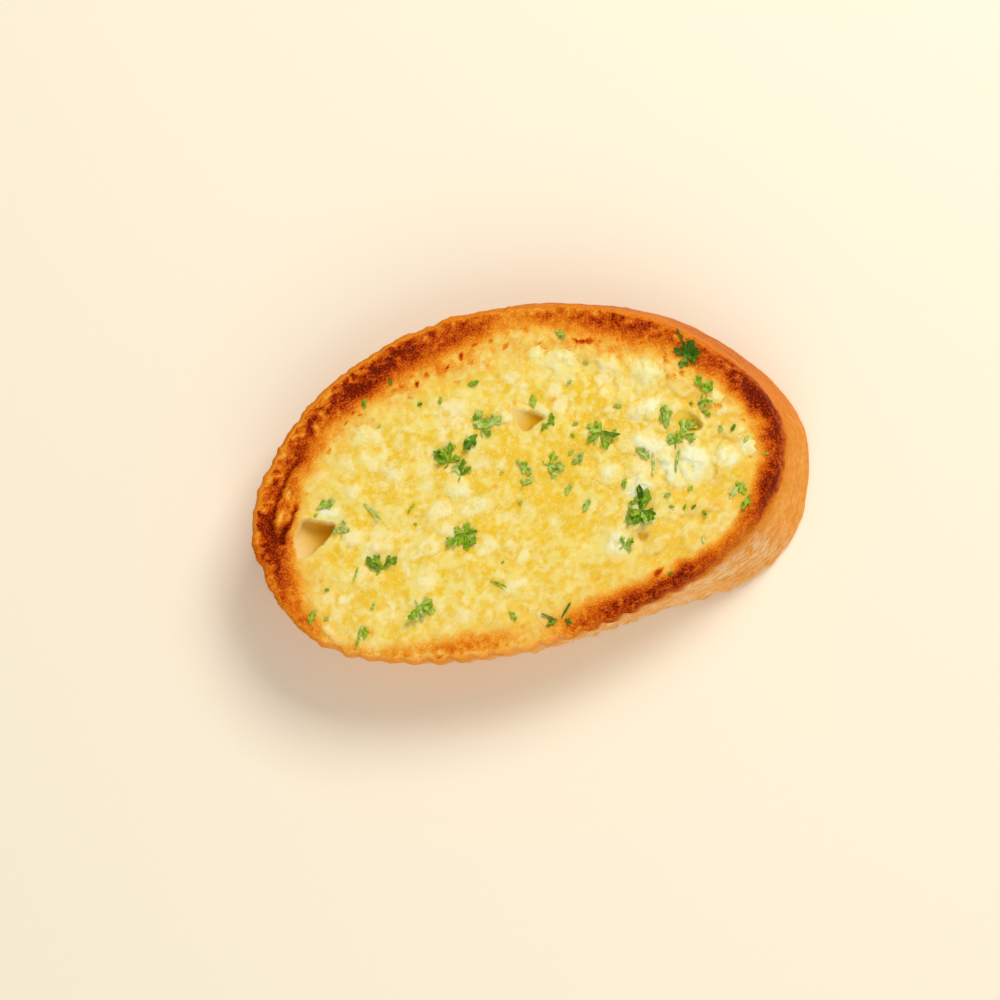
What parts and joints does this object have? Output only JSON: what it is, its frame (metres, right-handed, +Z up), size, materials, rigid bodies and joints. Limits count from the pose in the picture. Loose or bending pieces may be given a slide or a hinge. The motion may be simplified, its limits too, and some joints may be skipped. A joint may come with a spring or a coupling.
{
  "type": "garlic bread slice",
  "caption": "Slanted oval slice of crusty loaf, toasted and spread with garlic butter, with crushed garlic and chopped parsley on its upper cut face, lying flat to be served.",
  "frame": {"origin": "middle of the bottom of the slice's box, on the surface that it lies on", "axes": "+Z up, out of the buttered face; +X along the slice's length, towards the end where the crust wall leans out; +Y towards the domed top of the loaf"},
  "size_m": [0.1182, 0.0746, 0.022],
  "materials": {
    "bread": "toasted crumb soaked with butter, darker and drier at the rim, with a smooth baked crust",
    "garlic": "moist crushed garlic, pale and slightly clear",
    "parsley": "chopped fresh leaf with a soft gloss of butter"
  },
  "bodies": {
    "root": {"garlic_bread": "bread"}
  },
  "joints": []
}
